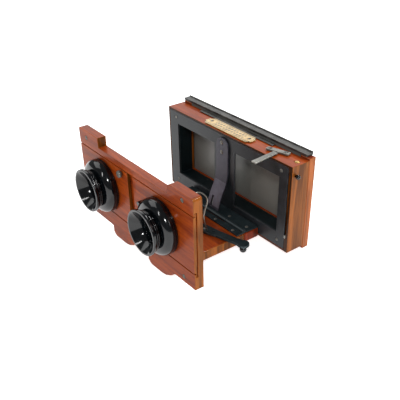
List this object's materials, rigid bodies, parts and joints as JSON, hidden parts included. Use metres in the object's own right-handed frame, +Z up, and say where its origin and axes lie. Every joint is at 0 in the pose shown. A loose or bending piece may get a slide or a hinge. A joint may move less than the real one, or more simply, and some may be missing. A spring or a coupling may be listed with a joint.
{
  "type": "view camera",
  "caption": "Folding twin-lens view camera of polished wood: hinged lens board with sliding lens panels on a baseboard, and a rear body with two windows and a lift-out screen.",
  "frame": {"origin": "on the ground under the middle of the whole instrument's box", "axes": "+X across the width, towards the side pin; +Y back from the lens board to the screen; +Z up"},
  "size_m": [0.1296, 0.1054, 0.0666],
  "materials": {
    "polished_mahogany": "deep red-brown French-polished mahogany with a clear gloss coat",
    "dark_mahogany": "darker red-brown polished mahogany, satin gloss",
    "black_lacquer": "gloss black turned hard rubber",
    "blackened_plate": "thin sheet with a worn satin black finish",
    "blackened_wood": "wood stained matt black-brown inside the windows",
    "blued_steel": "blued steel, semi-gloss",
    "grey_steel": "plain steel, lightly tarnished",
    "brass": "lacquered brass",
    "cream_plate": "pale cream-gold plate, satin, without lettering",
    "lens_glass": "clear polished glass",
    "ground_glass": "finely ground grey glass"
  },
  "bodies": {
    "rear_body_group": {"rear_body": "polished_mahogany", "rear_block": "polished_mahogany", "fold_hinge_rear": "blued_steel", "hinge_screw_rear_1": "grey_steel", "hinge_screw_rear_2": "grey_steel", "hinge_screw_rear_3": "grey_steel", "brace": "blued_steel", "brace_screw_1": "grey_steel", "brace_screw_2": "grey_steel", "brace_key": "grey_steel", "front_plate": "blackened_plate", "plate_screw_top_left": "grey_steel", "plate_screw_top_right": "grey_steel", "plate_screw_low_left": "grey_steel", "plate_screw_low_right": "grey_steel", "light_baffle": "blackened_wood", "screen_frame": "dark_mahogany", "rail_stop_strip": "grey_steel", "nameplate": "cream_plate", "nameplate_screw_1": "grey_steel", "nameplate_screw_2": "grey_steel", "catch_bar": "grey_steel", "catch_screw_1": "grey_steel", "catch_screw_2": "grey_steel", "brass_plug": "brass", "slot_tab": "grey_steel"},
    "baseboard_group": {"baseboard": "polished_mahogany", "fold_hinge_front": "blued_steel", "hinge_screw_front_1": "grey_steel", "hinge_screw_front_2": "grey_steel", "hinge_screw_front_3": "grey_steel", "hinge_screw_front_4": "grey_steel", "board_hinge_base": "brass", "lever_pivot": "grey_steel"},
    "lens_board_group": {"lens_board": "polished_mahogany", "board_hinge_leaf": "brass", "board_screw_top_left": "grey_steel", "board_screw_top_right": "grey_steel", "board_screw_low_left": "grey_steel", "board_screw_low_right": "grey_steel"},
    "lever_group": {"lever": "blued_steel", "lever_knob": "black_lacquer", "stay_screw": "grey_steel", "spring_stay": "grey_steel"},
    "left_panel_group": {"left_panel": "polished_mahogany", "left_barrel": "black_lacquer", "left_lens": "lens_glass"},
    "right_panel_group": {"right_panel": "polished_mahogany", "right_barrel": "black_lacquer", "right_lens": "lens_glass", "barrel_stop": "black_lacquer"},
    "left_cup_group": {"left_eye_cup": "black_lacquer"},
    "right_cup_group": {"right_eye_cup": "black_lacquer"},
    "clamp_group": {"panel_knob": "grey_steel"},
    "catch_group": {"catch_tongue": "grey_steel"},
    "screen_group": {"ground_glass": "ground_glass", "screen_rail": "grey_steel"},
    "pin_group": {"side_pin": "black_lacquer"}
  },
  "joints": [
    {"name": "main_fold", "type": "hinge", "parent": "rear_body_group", "child": "baseboard_group", "pos_m": [-0.0018, 0.021, 0.0102], "axis": [-1, 0, 0], "range_deg": [0, 40]},
    {"name": "board_fold", "type": "hinge", "parent": "baseboard_group", "child": "lens_board_group", "pos_m": [-0.0018, -0.0304, 0.0106], "axis": [-1, 0, 0], "range_deg": [0, 90], "deforming": ["spring_stay"]},
    {"name": "lever_swing", "type": "hinge", "parent": "baseboard_group", "child": "lever_group", "pos_m": [-0.0058, -0.0016, 0.0088], "axis": [0, 0, 1], "range_deg": [-25, 3]},
    {"name": "panel_slide", "type": "slide", "parent": "lens_board_group", "child": "left_panel_group", "axis": [1, 0, 0], "range_m": [-0.003, 0.0028]},
    {"name": "right_panel_slide", "type": "slide", "parent": "lens_board_group", "child": "right_panel_group", "axis": [1, 0, 0], "range_m": [-0.0028, 0.003]},
    {"name": "left_cup_turn", "type": "hinge", "parent": "left_panel_group", "child": "left_cup_group", "pos_m": [-0.0356, -0.0464, 0.0359], "axis": [0, -1, 0], "range_deg": [-90, 90]},
    {"name": "right_cup_turn", "type": "hinge", "parent": "right_panel_group", "child": "right_cup_group", "pos_m": [0.0284, -0.0464, 0.0359], "axis": [0, -1, 0], "range_deg": [-90, 90]},
    {"name": "clamp_turn", "type": "hinge", "parent": "left_panel_group", "child": "clamp_group", "pos_m": [-0.0127, -0.0387, 0.053], "axis": [0, -1, 0], "range_deg": [0, 90]},
    {"name": "catch_lift", "type": "hinge", "parent": "rear_body_group", "child": "catch_group", "pos_m": [0.0415, 0.0382, 0.0633], "axis": [-1, 0, 0], "range_deg": [0, 12]},
    {"name": "screen_lift", "type": "slide", "parent": "rear_body_group", "child": "screen_group", "axis": [0, 0, 1], "range_m": [0, 0.04]},
    {"name": "pin_pull", "type": "slide", "parent": "rear_body_group", "child": "pin_group", "axis": [1, 0, 0], "range_m": [0, 0.003]}
  ],
  "couplings": [
    {"joint": "right_panel_slide", "follows": "panel_slide", "ratio": -1}
  ]
}
